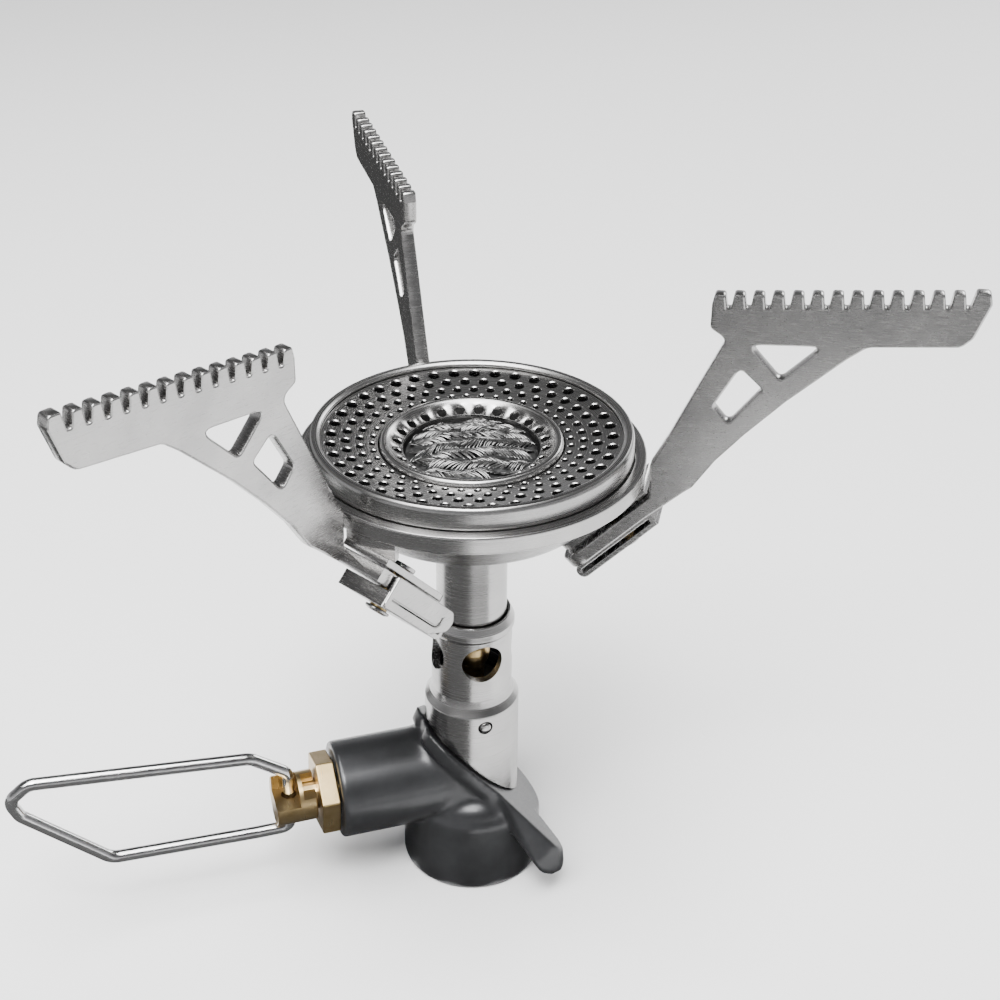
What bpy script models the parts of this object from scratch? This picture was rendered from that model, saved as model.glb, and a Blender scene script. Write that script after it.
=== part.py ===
"""Folding canister stove: screw-on valve, burner head and three pot supports that swing down.

The part stands on the mouth of its gas canister. The origin is on the burner axis, at the bottom
face of the canister collar; +Z is up and the valve handle points along -X.
Sizes are in millimetres and MM turns them into metres when a mesh is made.
"""
import math

import bmesh
import bpy
from mathutils import Matrix, Vector

MM = 0.001

# ---- driving dimensions -------------------------------------------------------------------------
CLEAR = 0.3                     # gap between neighbouring pieces

RIM_Z = 89.75                   # top of the burner rim
RIM_R = 27.0
CUP_FLOOR_Z = 75.7
CUP_FLOOR_R = 21.0
CUP_TOP_R = 27.3
CUP_KNEE_Z = 83.0
BAND_IN_R = 27.6                # support ring
BAND_OUT_R = 29.1
BAND_LOW_Z = 83.05
BAND_TOP_Z = 86.1

TUBE_R = 6.2                    # mixing tube
TUBE_WALL = 0.8
SLEEVE_TOP_Z = 54.0
SLEEVE_R = 8.5                  # lower part of the air sleeve
AIR_HOLE_Z = 46.5
AIR_HOLE_R = 3.65
PIN_Z = 33.7

COLLAR_R = 12.78                # fits the raised cup of an EN 417 canister
VALVE_Z = 19.3                  # axis of the valve spindle
HOUSING_R = 8.7
HOUSING_END_X = -26.0
SLANT_Z = 22.0                  # the slanted face is the plane z = SLANT_Z - x
NUT_FLATS = 13.0
NUT_END_X = -31.2
KNOB_R = 4.5
KNOB_END_X = -37.3
HANDLE_X = -34.4                # vertical axis on which the wire handle swings
WIRE_R = 1.1

ARM_AZIMUTHS = (90.0, 210.0, 330.0)
HINGE_TILT = math.radians(46.5)  # slope of the hinge leaves below the horizontal
HINGE_P = 69.1                   # pivot: distance up the slope, and sideways from the arm plate
HINGE_T = 5.0
ARM_THICK = 2.4
LEAF_LOW_P = HINGE_P - 10.8
STRAP_Q = (-35.3, -34.1)         # layers through the hinge, measured along its axis
LEAF_Q = (-33.8, -31.4)
CLIP_Q = (-31.1, -28.5)
CLIP_WALL = 0.95
RIVET_R = 1.5

TOOTH_PITCH = 2.9
TOOTH_COUNT = 13
TOOTH_DEPTH = 2.3
TOOTH_R0 = 38.76                 # first tooth tip
TOOTH_Z0 = 117.67
TOP_SLOPE = 0.0971               # the toothed edge rises outward

ALONG_X = Matrix.Translation((0, 0, VALVE_Z)) @ Matrix.Rotation(math.pi / 2, 4, "Y")
HINGE_AXES = Matrix((
    (math.cos(HINGE_TILT), 0, math.sin(HINGE_TILT)),
    (0, 1, 0),
    (math.sin(HINGE_TILT), 0, -math.cos(HINGE_TILT)),
)).to_4x4()                      # columns: up the slope (p), sideways (t), along the pivot (q)


# ---- tools for making solids --------------------------------------------------------------------
def clear_scene():
    for item in list(bpy.data.objects):
        bpy.data.objects.remove(item, do_unlink=True)


def material(name, colour, metallic, roughness):
    found = bpy.data.materials.get(name)
    if found:
        return found
    made = bpy.data.materials.new(name)
    made.use_nodes = True
    shader = made.node_tree.nodes["Principled BSDF"]
    shader.inputs["Base Color"].default_value = (*colour, 1.0)
    shader.inputs["Metallic"].default_value = metallic
    shader.inputs["Roughness"].default_value = roughness
    return made


def steel():
    return material("satin_steel", (0.52, 0.52, 0.51), 1.0, 0.32)


def wire_steel():
    return material("polished_wire", (0.62, 0.62, 0.62), 1.0, 0.18)


def dark_alloy():
    return material("dark_cast_alloy", (0.07, 0.07, 0.075), 0.8, 0.42)


def brass():
    return material("brass", (0.62, 0.45, 0.2), 1.0, 0.3)


def rubber():
    return material("black_rubber", (0.02, 0.02, 0.02), 0.0, 0.7)


def gauze():
    return material("steel_gauze", (0.3, 0.3, 0.3), 1.0, 0.45)


def add_object(name, bm, look, frame=None, origin=(0.0, 0.0, 0.0)):
    """Turn a bmesh in millimetres into an object whose origin is at the given point."""
    if frame is not None:
        bm.transform(frame)
    bmesh.ops.recalc_face_normals(bm, faces=bm.faces)
    bmesh.ops.translate(bm, verts=bm.verts, vec=-Vector(origin))
    bmesh.ops.scale(bm, verts=bm.verts, vec=(MM, MM, MM))
    mesh = bpy.data.meshes.new(name)
    bm.to_mesh(mesh)
    bm.free()
    mesh.materials.append(look)
    made = bpy.data.objects.new(name, mesh)
    made.location = Vector(origin) * MM
    bpy.context.collection.objects.link(made)
    return made


def turned(profile, steps=32, start=0.0):
    """Body turned about Z. A profile that starts on the axis ends on it too; any other is a ring."""
    bm = bmesh.new()
    angles = [start + 2 * math.pi * i / steps for i in range(steps)]
    rings = []
    for radius, height in profile:
        if radius == 0:
            rings.append([bm.verts.new((0, 0, height))])
        else:
            rings.append([bm.verts.new((radius * math.cos(a), radius * math.sin(a), height))
                          for a in angles])
    joined = rings + [rings[0]] if profile[0][0] > 0 else rings
    for low, high in zip(joined, joined[1:]):
        for i in range(steps):
            j = (i + 1) % steps
            corners = (low[i % len(low)], low[j % len(low)], high[j % len(high)], high[i % len(high)])
            face = list(dict.fromkeys(corners))
            if len(face) > 2:
                bm.faces.new(face)
    return bm


def prism(outline, low, high):
    """Outline in the XY plane, extruded from low to high."""
    bm = bmesh.new()
    floor = [bm.verts.new((x, y, low)) for x, y in outline]
    roof = [bm.verts.new((x, y, high)) for x, y in outline]
    bm.faces.new(list(reversed(floor)))
    bm.faces.new(roof)
    count = len(outline)
    for i in range(count):
        j = (i + 1) % count
        bm.faces.new((floor[i], floor[j], roof[j], roof[i]))
    return bm


def hull(points):
    bm = bmesh.new()
    for point in points:
        bm.verts.new(point)
    result = bmesh.ops.convex_hull(bm, input=bm.verts)
    unused = [v for v in result["geom_interior"] if isinstance(v, bmesh.types.BMVert)]
    bmesh.ops.delete(bm, geom=unused, context="VERTS")
    return bm


def rod(start, end, radius, steps=16):
    """Round bar between two points."""
    start = Vector(start)
    reach = Vector(end) - start
    bm = turned([(0, 0), (radius, 0), (radius, reach.length), (0, reach.length)], steps)
    turn = reach.to_track_quat("Z", "Y").to_matrix().to_4x4()
    bm.transform(Matrix.Translation(start) @ turn)
    return bm


def combine(body, bm, operation):
    """Cut a bmesh from a body, or join it on, with an exact Boolean."""
    tool = add_object("tool", bm, body.data.materials[0])
    change = body.modifiers.new("change", "BOOLEAN")
    change.operation = operation
    change.solver = "EXACT"
    change.object = tool
    bpy.context.view_layer.update()
    graph = bpy.context.evaluated_depsgraph_get()
    old = body.data
    name = old.name
    fresh = bpy.data.meshes.new_from_object(body.evaluated_get(graph))
    body.modifiers.clear()
    body.data = fresh
    bpy.data.objects.remove(tool, do_unlink=True)
    bpy.data.meshes.remove(old)
    fresh.name = name
    tidy = bmesh.new()
    tidy.from_mesh(fresh)
    bmesh.ops.remove_doubles(tidy, verts=tidy.verts, dist=0.002 * MM)
    bmesh.ops.dissolve_degenerate(tidy, edges=tidy.edges, dist=0.002 * MM)
    tidy.to_mesh(fresh)
    tidy.free()
    return body


def cut(body, bm):
    return combine(body, bm, "DIFFERENCE")


def join(body, bm):
    return combine(body, bm, "UNION")


def shade(body, angle=35.0):
    body.data.shade_smooth()
    body.data.set_sharp_from_angle(angle=math.radians(angle))
    return body


def arc(centre, radius, first, last, steps):
    """Points on a circle between two angles in degrees."""
    points = []
    for i in range(steps + 1):
        angle = math.radians(first + (last - first) * i / steps)
        points.append((centre[0] + radius * math.cos(angle), centre[1] + radius * math.sin(angle)))
    return points


# ---- valve body and what is inside it -----------------------------------------------------------
def wing(side):
    """One side of the cast apron that runs from the slanted face down beside the collar."""
    top = [(-7.0, 7.8), (-3.3, 9.0), (0.1, 10.6), (1.9, 11.3), (11.0, 18.0), (12.4, 16.4), (12.4, 11.0),
           (6.0, 2.0)]
    points = [(x, side * y, SLANT_Z - x + 1.5) for x, y in top]
    under = [(-4.5, 12.2, 15.0), (-6.5, 7.0, 17.0), (1.5, 13.6, 12.6), (7.0, 18.4, 7.6), (8.2, 18.4, 5.6),
             (11.6, 17.8, 5.4), (12.6, 16.0, 6.4), (8.0, 14.6, 6.6), (4.0, 6.0, 14.0)]
    points += [(x, side * y, z) for x, y, z in under]
    return hull(points)


def valve_body():
    collar = [(0, 0), (12.3, 0), (COLLAR_R, 0.5), (COLLAR_R, 14.7), (11.6, 16.9), (9.0, 18.3), (0, 18.3)]
    body = add_object("valve_body", turned(collar, 36), dark_alloy())
    reach = 5.0
    housing = [(0, HOUSING_END_X), (HOUSING_R - 0.4, HOUSING_END_X), (HOUSING_R, HOUSING_END_X + 0.4),
               (HOUSING_R, reach), (0, reach)]
    tube = turned(housing, 28)
    tube.transform(ALONG_X)
    join(body, tube)
    join(body, turned([(0, 8), (10.2, 8), (10.2, 40), (0, 40)], 26))
    for side in (-1, 1):
        join(body, wing(side))
    keep_out = prism([(-60, 0), (60, 0), (60, 60), (-60, 60)], -40, 40)
    turn = Matrix.Rotation(math.radians(45), 4, "Y") @ Matrix.Rotation(math.radians(90), 4, "X")
    keep_out.transform(Matrix.Translation((0, 0, SLANT_Z)) @ turn)
    cut(body, keep_out)
    join(body, turned([(0, 6), (6.9, 6), (6.9, 35.4), (5.4, 35.9), (5.4, 38.6), (0, 38.6)], 24))
    cut_valve_passages(body)
    return shade(body)


def cut_valve_passages(body):
    inlet = [(0, -1), (7.5, -1), (7.5, 9.6), (5.6, 9.6), (5.6, 11.9), (3.3, 11.9), (3.3, 14.4),
             (1.5, 14.4), (1.5, VALVE_Z + 0.2), (0, VALVE_Z + 0.2)]
    cut(body, turned(inlet, 20))
    bore = turned([(0, -28), (4.8, -28), (4.8, -13.5), (2.2, -13.5), (2.2, -6.5), (1.3, -6.5),
                   (1.3, 0.4), (0, 0.4)], 18)
    bore.transform(ALONG_X)
    cut(body, bore)
    cut(body, turned([(0, 32), (2.6, 32), (2.6, 41), (0, 41)], 16))
    cut(body, rod((-9, 0, VALVE_Z), (0, 0, 33.5), 1.0, 12))
    for side in (-1, 1):
        cut(body, rod((0, side * 4.6, PIN_Z), (0, side * 9, PIN_Z), 1.4, 12))


def canister_end():
    thread = [(7.2, 0.6), (7.2, 9.3), (5.3, 9.3), (5.3, 1.3), (6.0, 0.6)]
    shade(add_object("thread_insert", turned(thread, 24), brass()))
    seal = [(5.3, 10.2), (5.3, 11.4), (4.9, 11.6), (4.0, 11.6), (3.6, 11.4), (3.6, 10.2), (4.0, 10.0),
            (4.9, 10.0)]
    shade(add_object("canister_seal", turned(seal, 16), rubber()))
    pin = [(0, 6.2), (0.7, 6.2), (0.9, 6.6), (0.9, 12.2), (3.0, 12.2), (3.0, 13.2), (0, 13.2)]
    shade(add_object("inlet_pin", turned(pin, 14), brass()))
    shade(add_object("inlet_filter", turned([(0, 13.5), (2.9, 13.5), (2.9, 14.1), (0, 14.1)], 14),
                     gauze()))


def gland():
    corner = NUT_FLATS / 2 / math.cos(math.radians(30))
    face = HOUSING_END_X - CLEAR
    hexagon = [(0, NUT_END_X), (corner, NUT_END_X), (corner, face), (0, face)]
    nut = add_object("gland_nut", turned(hexagon, 6, math.radians(30)), brass(), ALONG_X)
    shank = turned([(0, face - 1), (4.5, face - 1), (4.5, -22.5), (0, -22.5)], 24)
    bore = turned([(0, NUT_END_X - 1), (2.9, NUT_END_X - 1), (2.9, -24.6), (4.0, -24.6), (4.0, -22),
                   (0, -22)], 24)
    for piece, change in ((shank, join), (bore, cut)):
        piece.transform(ALONG_X)
        change(nut, piece)
    shade(nut)
    seal = [(3.7, -24.0), (3.7, -23.0), (3.5, -22.8), (3.1, -22.8), (2.9, -23.0), (2.9, -24.0),
            (3.1, -24.2), (3.5, -24.2)]
    shade(add_object("gland_seal", turned(seal, 14), rubber(), ALONG_X))


def spindle():
    centre = (HANDLE_X, 0, VALVE_Z)
    profile = [(0, KNOB_END_X), (KNOB_R - 0.4, KNOB_END_X), (KNOB_R, KNOB_END_X + 0.4), (KNOB_R, -31.9),
               (2.9, -31.9), (2.9, -32.8), (0, -32.8)]
    knob = add_object("spindle_knob", turned(profile, 24), brass(), ALONG_X)
    cut(knob, rod((HANDLE_X, 0, VALVE_Z - 8), (HANDLE_X, 0, VALVE_Z + 8), WIRE_R + CLEAR, 14))
    shade(move_origin(knob, centre))
    profile = [(0, -32.5), (2.6, -32.5), (2.6, -20.8), (4.4, -20.8), (4.4, -17.5), (3.2, -17.5), (3.2, -15.5),
               (4.4, -15.5), (4.4, -14.2), (1.9, -14.2), (1.9, -11.0), (0, -11.0)]
    shade(add_object("spindle_stem", turned(profile, 24), brass(), ALONG_X, centre))
    needle = [(0, -10.7), (1.5, -10.7), (1.5, -8.5), (0.3, -4.5), (0, -4.5)]
    shade(add_object("needle", turned(needle, 14), steel(), ALONG_X, centre))
    ring = [(4.5, -17.0), (4.5, -16.0), (4.3, -15.8), (3.7, -15.8), (3.5, -16.0), (3.5, -17.0),
            (3.7, -17.2), (4.3, -17.2)]
    shade(add_object("spindle_seal", turned(ring, 14), rubber(), ALONG_X, centre))


def move_origin(body, point):
    shift = Vector(point) * MM - body.location
    body.data.transform(Matrix.Translation(-shift))
    body.location += shift
    return body


def rounded_path(corners, radius, steps):
    """Path through the corners, each turned in a smooth bend of about the given radius."""
    path = [Vector(corners[0])]
    for before, corner, after in zip(corners, corners[1:], corners[2:]):
        corner = Vector(corner)
        back = (Vector(before) - corner)
        ahead = (Vector(after) - corner)
        turn = back.angle(ahead)
        trim = min(radius / math.tan(turn / 2), 0.48 * min(back.length, ahead.length))
        start = corner + back.normalized() * trim
        end = corner + ahead.normalized() * trim
        for i in range(steps + 1):
            u = i / steps
            path.append((1 - u) ** 2 * start + 2 * u * (1 - u) * corner + u ** 2 * end)
    path.append(Vector(corners[-1]))
    return path


def swept(path, radius, sides):
    """Round bar along a path that lies in the XZ plane."""
    bm = bmesh.new()
    rings = []
    across = Vector((0, 1, 0))
    for i, point in enumerate(path):
        ahead = path[min(i + 1, len(path) - 1)] - path[max(i - 1, 0)]
        normal = ahead.normalized().cross(across)
        ring = []
        for k in range(sides):
            angle = 2 * math.pi * k / sides
            ring.append(bm.verts.new(point + radius * (math.cos(angle) * across + math.sin(angle) * normal)))
        rings.append(ring)
    bm.faces.new(rings[0])
    bm.faces.new(rings[-1])
    for low, high in zip(rings, rings[1:]):
        for k in range(sides):
            m = (k + 1) % sides
            bm.faces.new((low[k], low[m], high[m], high[k]))
    return bm


def handle_corners():
    """Centre line of the wire handle, from its upper pin round the loop to its lower pin."""
    return [(HANDLE_X, 0, VALVE_Z + 1.4), (HANDLE_X, 0, 25.2), (-40.9, 0, 29.8), (-78.7, 0, 33.2),
            (-82.2, 0, 30.4), (-80.7, 0, 26.9), (-66.6, 0, 13.8), (-40.8, 0, 12.9),
            (HANDLE_X, 0, 12.9), (HANDLE_X, 0, VALVE_Z - 1.4)]


def handle():
    path = rounded_path(handle_corners(), 2.2, 3)
    wire = swept(path, WIRE_R, 10)
    shade(add_object("handle_wire", wire, wire_steel(), None, (HANDLE_X, 0, VALVE_Z)), 60)


# ---- burner -------------------------------------------------------------------------------------
def jet():
    profile = [(2.3, 33.0), (2.3, 38.5), (2.3, 38.9), (3.3, 38.9), (3.3, 44.5), (2.4, 46.0), (1.5, 48.5),
               (0.6, 48.5), (0.6, 33.0)]
    shade(add_object("jet", turned(profile, 20), brass()))


def air_sleeve():
    profile = [(6.9, SLEEVE_TOP_Z), (7.6, 52.3), (7.6, 51.6), (7.2, 50.8), (7.2, 37.8), (SLEEVE_R, 35.5),
               (SLEEVE_R, 8.0), (7.2, 8.0), (7.2, 35.8), (5.8, 37.2), (5.8, 51.0), (6.5, 51.0),
               (6.5, SLEEVE_TOP_Z)]
    tube = turned(profile, 24, math.radians(7.5))
    for corner in tube.verts:
        if corner.co.z < 10:
            corner.co.z = SLANT_Z + 0.5 - corner.co.x
    body = add_object("air_sleeve", tube, steel())
    cut(body, rod((-10, 0, AIR_HOLE_Z), (10, 0, AIR_HOLE_Z), AIR_HOLE_R, 14))
    cut(body, rod((0, -10, AIR_HOLE_Z), (0, 10, AIR_HOLE_Z), AIR_HOLE_R, 14))
    cut(body, rod((0, -10, PIN_Z), (0, 10, PIN_Z), 1.4, 12))
    shade(body)
    for side, name in ((-1, "retaining_pin_1"), (1, "retaining_pin_2")):
        shade(add_object(name, rod((0, side * 5.0, PIN_Z), (0, side * 8.9, PIN_Z), 1.1, 12), steel()))


def mixing_tube():
    inner = TUBE_R - TUBE_WALL
    profile = [(TUBE_R, 51.3), (TUBE_R, 77.6), (inner, 77.6), (inner, 51.3)]
    shade(add_object("mixing_tube", turned(profile, 24), steel()))


def burner_head():
    wall = 0.6
    cup = [(6.5, CUP_FLOOR_Z), (CUP_FLOOR_R - 0.8, CUP_FLOOR_Z), (CUP_FLOOR_R + 0.3, 76.4),
           (CUP_TOP_R, CUP_KNEE_Z), (CUP_TOP_R, 84.8), (CUP_TOP_R - wall, 84.8),
           (CUP_TOP_R - wall, CUP_KNEE_Z + 0.2), (CUP_FLOOR_R - 0.6, 76.4), (6.5, 76.4)]
    shade(add_object("burner_cup", turned(cup, 36), steel()))
    cap = [(25.7, 83.6), (26.4, 83.6), (26.4, 88.0), (27.0, 88.5), (27.0, 89.3), (26.6, RIM_Z), (25.6, RIM_Z),
           (25.1, 89.4), (25.1, 89.1), (25.7, 88.9)]
    shade(add_object("burner_cap", turned(cap, 36), steel()))
    burner_plate()
    ring = [(15.4, 86.5), (15.4, 87.4), (14.9, 87.95), (14.3, 87.9), (13.6, 87.2), (11.5, 86.3), (11.5, 85.6),
            (13.8, 86.2)]
    shade(add_object("flame_ring", turned(ring, 32), steel()))
    dome = [(0, 84.9), (11.1, 84.9), (11.1, 85.9), (9.6, 86.7), (6.6, 87.4), (3.3, 87.8), (0, 87.9)]
    shade(add_object("mesh_dome", turned(dome, 24), gauze()))


def burner_plate():
    """Dished plate with two staggered rings of flame ports, made cell by cell."""
    thick = 0.6
    count = 30
    edges = (15.8, 20.2, 25.2)
    bm = bmesh.new()

    def height(radius):
        return 86.5 + (radius - 15.8) * 0.17

    def vertex(radius, angle, low):
        drop = thick if low else 0.0
        return bm.verts.new((radius * math.cos(angle), radius * math.sin(angle), height(radius) + thick - drop))

    step = 2 * math.pi / count
    sheets = {}
    for low in (True, False):
        grid = [[vertex(r, i * step, low) for i in range(count)] for r in edges]
        holes = []
        for band in range(2):
            middle = (edges[band] + edges[band + 1]) / 2
            size = 0.9 + 0.2 * band
            ring = []
            for i in range(count):
                angle = (i + 0.5) * step
                ring.append([vertex(middle - size, angle, low), vertex(middle, angle + size / middle, low),
                             vertex(middle + size, angle, low), vertex(middle, angle - size / middle, low)])
            holes.append(ring)
        sheets[low] = (grid, holes)
        for band in range(2):
            for i in range(count):
                j = (i + 1) % count
                inner_a, inner_b = grid[band][i], grid[band][j]
                outer_a, outer_b = grid[band + 1][i], grid[band + 1][j]
                near, left, far, right = holes[band][i]
                bm.faces.new((inner_a, inner_b, near))
                bm.faces.new((inner_b, outer_b, left))
                bm.faces.new((outer_b, outer_a, far))
                bm.faces.new((outer_a, inner_a, right))
                bm.faces.new((inner_b, left, near))
                bm.faces.new((outer_b, far, left))
                bm.faces.new((outer_a, right, far))
                bm.faces.new((inner_a, near, right))
    (grid_low, holes_low), (grid_top, holes_top) = sheets[True], sheets[False]
    for row in (0, 2):
        for i in range(count):
            j = (i + 1) % count
            bm.faces.new((grid_low[row][i], grid_low[row][j], grid_top[row][j], grid_top[row][i]))
    for band in range(2):
        for low_hole, top_hole in zip(holes_low[band], holes_top[band]):
            for k in range(4):
                m = (k + 1) % 4
                bm.faces.new((low_hole[k], low_hole[m], top_hole[m], top_hole[k]))
    shade(add_object("burner_plate", bm, steel()))


# ---- pot supports and their hinges --------------------------------------------------------------
def arm_frame(azimuth):
    return Matrix.Rotation(math.radians(azimuth), 4, "Z")


def hinge_point():
    return HINGE_AXES @ Vector((HINGE_P, HINGE_T, sum(LEAF_Q) / 2))


def slab_outline(low_p, high_p, low_t, high_t, round_r):
    """Leaf in the hinge plane: square at the top, rounded at the lower end."""
    corner = min(round_r, (high_t - low_t) / 2)
    points = [(high_p, low_t), (high_p, high_t)]
    points += arc((low_p + corner, high_t - corner), corner, 90, 180, 4)
    points += arc((low_p + corner, low_t + corner), corner, 180, 270, 4)
    return points


def support_ring():
    band = [(BAND_IN_R, BAND_LOW_Z), (BAND_OUT_R, BAND_LOW_Z), (BAND_OUT_R, BAND_TOP_Z),
            (BAND_IN_R, BAND_TOP_Z)]
    body = add_object("support_ring", turned(band, 48), steel())
    for azimuth in ARM_AZIMUTHS:
        turn = arm_frame(azimuth)
        skirt = lug_skirt()
        skirt.transform(turn)
        join(body, skirt)
        strap = prism(slab_outline(LEAF_LOW_P + 0.4, HINGE_P + 9.8, 0.2, 9.8, 4.8), *STRAP_Q)
        strap.transform(turn @ HINGE_AXES)
        join(body, strap)
        hole = rod((HINGE_P, HINGE_T, -42), (HINGE_P, HINGE_T, -32), RIVET_R + CLEAR, 12)
        hole.transform(turn @ HINGE_AXES)
        cut(body, hole)
    return shade(body)


def lug_skirt():
    """Piece of the ring's wall that reaches down to one hinge strap."""
    outside = BAND_OUT_R - 0.2
    inside = BAND_IN_R + 0.15
    first = math.asin(0.4 / outside)
    last = math.asin(9.6 / outside)
    steps = 4
    angles = [first + (last - first) * i / steps for i in range(steps + 1)]
    outer = [(outside * math.cos(a), outside * math.sin(a)) for a in angles]
    inner = [(inside * math.cos(a), inside * math.sin(a)) for a in reversed(angles)]
    return prism(outer + inner, 80.5, BAND_LOW_Z + 1.0)


def tooth_line(radius):
    return TOOTH_Z0 + TOP_SLOPE * (radius - TOOTH_R0)


def arm_outline():
    """Side view of a pot support as (radius, height), from its inner top corner round to its foot."""
    points = [(37.9, 112.0), (37.9, tooth_line(37.9) - 1.6)]
    for i in range(TOOTH_COUNT):
        tip = TOOTH_R0 + 0.3 + i * TOOTH_PITCH
        points.append((tip - 0.75, tooth_line(tip)))
        points.append((tip + 0.75, tooth_line(tip)))
        points.append((tip + 1.2, tooth_line(tip) - TOOTH_DEPTH))
        points.append((tip + TOOTH_PITCH - 1.2, tooth_line(tip) - TOOTH_DEPTH))
    end = 78.6
    points += [(end - 2.4, tooth_line(end)), (end - 0.5, tooth_line(end)), (end, 119.8), (end - 1.9, 114.2),
               (75.2, 112.6), (61.7, 111.2), (59.0, 109.0), (50.4, 100.7), (44.6, 94.3), (40.3, 89.0),
               (36.9, 83.6), (35.6, 82.5)]
    foot = HINGE_AXES.to_3x3()
    for p, q in ((HINGE_P + 6.5, LEAF_Q[1]), (HINGE_P + 6.5, LEAF_Q[0]), (HINGE_P + 10.2, LEAF_Q[0])):
        spot = foot @ Vector((p, 0, q))
        points.append((spot.x, spot.z))
    points += [(29.9, 86.9), (32.6, 92.4), (36.7, 101.7), (40.6, 110.4)]
    return points


def upright(bm):
    """Stand a prism drawn as (radius, height) up in the radial plane."""
    bm.transform(Matrix.Rotation(math.radians(90), 4, "X"))
    return bm


def pot_support_mesh():
    half = ARM_THICK / 2
    body = add_object("pot_support", upright(prism(arm_outline(), -half, half)), steel())
    window = [(44.0, 109.8), (49.2, 104.2), (55.3, 110.6)]
    lower = [(43.0, 105.7), (39.3, 98.7), (41.8, 95.8), (46.7, 102.4)]
    for opening in (window, lower):
        cut(body, upright(prism(opening, -4, 4)))
    leaf = prism(slab_outline(LEAF_LOW_P, HINGE_P + 10, -half, 10.0, 4.4), *LEAF_Q)
    leaf.transform(HINGE_AXES)
    join(body, leaf)
    hole = rod((HINGE_P, HINGE_T, -40), (HINGE_P, HINGE_T, -20), RIVET_R + CLEAR, 12)
    hole.transform(HINGE_AXES)
    cut(body, hole)
    return body


def spring_clip_mesh():
    """Hairpin spring, two legs joined by a rounded nose, with a side wall over the edge of the leaf."""
    inner, outer = CLIP_Q
    middle = (inner + outer) / 2
    radius = (outer - inner) / 2
    nose = HINGE_P - 9.4
    end = HINGE_P + 7.0
    outside = arc((nose, middle), radius, 90, 270, 6)
    inside = arc((nose, middle), radius - CLIP_WALL, 270, 90, 4)
    outline = [(end, outer)] + outside + [(end, inner), (end, inner + CLIP_WALL)] + inside
    outline.append((end, outer - CLIP_WALL))
    on_edge = HINGE_AXES @ Matrix.Rotation(math.radians(90), 4, "X")
    bm = prism(outline, -10.9, -1.0)
    bm.transform(on_edge)
    body = add_object("spring_clip", bm, steel())
    low = LEAF_Q[0]
    wall = [(end - 0.1, low), (end - 0.1, outer - 0.1), (HINGE_P - 7.2, outer - 0.1), (HINGE_P - 11.2, outer - 2.0),
            (HINGE_P - 11.6, outer - 3.9), (HINGE_P - 10.2, low)]
    side = prism(wall, -11.2, -10.3)
    side.transform(on_edge)
    join(body, side)
    hole = rod((HINGE_P, HINGE_T, -40), (HINGE_P, HINGE_T, -20), RIVET_R + CLEAR, 12)
    hole.transform(HINGE_AXES)
    return cut(body, hole)


def rivet_mesh():
    head = CLIP_Q[1] + CLEAR
    tail = STRAP_Q[0] - CLEAR
    profile = [(0, tail - 0.8), (2.4, tail - 0.8), (2.6, tail - 0.5), (2.6, tail), (RIVET_R, tail),
               (RIVET_R, head), (2.8, head), (2.8, head + 0.5), (2.2, head + 0.9), (0, head + 0.9)]
    bm = turned(profile, 14)
    bm.transform(HINGE_AXES @ Matrix.Translation((HINGE_P, HINGE_T, 0)))
    return add_object("pivot_rivet", bm, brass())


def pot_supports():
    """Three equal arms: each mesh is made once, about its pivot, and shared by its three objects."""
    pivot = hinge_point()
    for template in (pot_support_mesh(), spring_clip_mesh(), rivet_mesh()):
        move_origin(shade(template), pivot)
        for number, azimuth in enumerate(ARM_AZIMUTHS, 1):
            copy = bpy.data.objects.new(f"{template.name}_{number}", template.data)
            copy.location = arm_frame(azimuth) @ pivot * MM
            copy.rotation_euler.z = math.radians(azimuth)
            bpy.context.collection.objects.link(copy)
        bpy.data.objects.remove(template, do_unlink=True)


def main():
    clear_scene()
    valve_body()
    canister_end()
    gland()
    spindle()
    handle()
    jet()
    air_sleeve()
    mixing_tube()
    burner_head()
    support_ring()
    pot_supports()


main()
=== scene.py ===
"""Looks of the folding canister stove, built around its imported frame.

Shapes are worked out in millimetres in the frame's own axes and turned into metres when a piece is
made: origin on the burner axis at the bottom of the collar, +Z up, valve handle along -X.
"""
import math
import random

import bmesh
import bpy
import numpy as np
from mathutils import Matrix, Vector


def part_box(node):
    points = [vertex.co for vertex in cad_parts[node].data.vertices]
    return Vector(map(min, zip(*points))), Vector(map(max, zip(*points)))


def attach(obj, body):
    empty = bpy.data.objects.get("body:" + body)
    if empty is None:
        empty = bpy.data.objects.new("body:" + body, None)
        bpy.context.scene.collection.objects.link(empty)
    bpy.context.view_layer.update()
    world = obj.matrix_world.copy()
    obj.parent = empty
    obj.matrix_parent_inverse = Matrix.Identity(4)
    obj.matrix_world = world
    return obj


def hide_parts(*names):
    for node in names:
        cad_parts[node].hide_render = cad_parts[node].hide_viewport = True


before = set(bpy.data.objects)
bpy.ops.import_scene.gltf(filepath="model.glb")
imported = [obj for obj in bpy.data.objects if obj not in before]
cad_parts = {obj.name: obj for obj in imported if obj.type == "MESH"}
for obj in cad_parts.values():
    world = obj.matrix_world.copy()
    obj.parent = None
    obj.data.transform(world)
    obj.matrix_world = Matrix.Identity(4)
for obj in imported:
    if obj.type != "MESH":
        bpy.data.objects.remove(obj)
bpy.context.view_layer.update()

MM = 0.001


def in_mm(node):
    low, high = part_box(node)
    return low / MM, high / MM


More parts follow.
